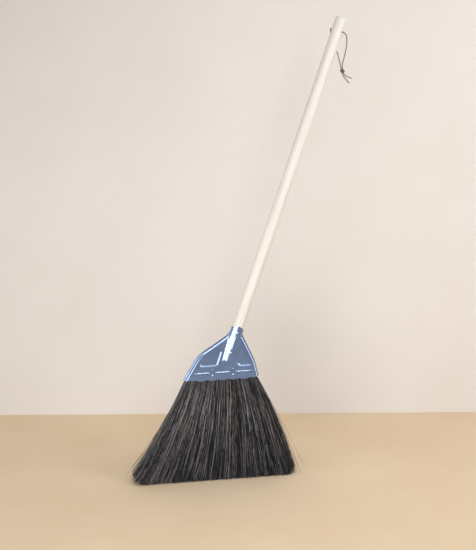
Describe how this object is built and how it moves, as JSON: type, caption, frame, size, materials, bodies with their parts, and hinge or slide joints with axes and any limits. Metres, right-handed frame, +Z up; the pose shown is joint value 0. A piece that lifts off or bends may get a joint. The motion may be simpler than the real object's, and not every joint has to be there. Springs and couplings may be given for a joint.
{
  "type": "sweeping brush",
  "caption": "Long-handled angled broom with a fan of stiff plant fibre, a pressed sheet-metal ferrule with a round socket, a wooden dowel handle and a knotted hanging cord.",
  "frame": {"origin": "on the floor under the bristles, at the middle of the trimmed tips", "axes": "+X along the head towards the side the handle leans to, +Y out of the head's back, +Z up"},
  "size_m": [0.4492, 0.0486, 0.8782],
  "materials": {
    "handle_wood": "bare, smoothly sanded",
    "ferrule_metal": "glossy blue lacquer on pressed sheet",
    "nail_steel": "bright",
    "bristle_fibre": "matt, stiff plant fibre",
    "binding_wire": "plain",
    "hang_cord": "laid twine"
  },
  "bodies": {
    "broom": {"handle": "handle_wood", "ferrule_front_shell": "ferrule_metal", "ferrule_back_shell": "ferrule_metal", "socket_nail_upper": "nail_steel", "socket_nail_lower": "nail_steel", "clamp_nail_left": "nail_steel", "clamp_nail_right": "nail_steel", "bristle_bundle_1": "bristle_fibre", "bristle_bundle_2": "bristle_fibre", "bristle_bundle_3": "bristle_fibre", "bristle_bundle_4": "bristle_fibre", "bristle_bundle_5": "bristle_fibre", "bundle_binding_1": "binding_wire", "bundle_binding_2": "binding_wire", "bundle_binding_3": "binding_wire", "bundle_binding_4": "binding_wire", "bundle_binding_5": "binding_wire"},
    "hang_loop": {"hang_cord_right": "hang_cord", "hang_cord_left": "hang_cord", "hang_cord_tail_right": "hang_cord", "hang_cord_tail_left": "hang_cord", "hang_cord_knot": "hang_cord"}
  },
  "joints": [
    {"name": "hang_loop_swing", "type": "hinge", "parent": "broom", "child": "hang_loop", "pos_m": [0.26307, 0, 0.85165], "axis": [0.7189, -0.6428, -0.2645], "range_deg": [0, 95]}
  ]
}
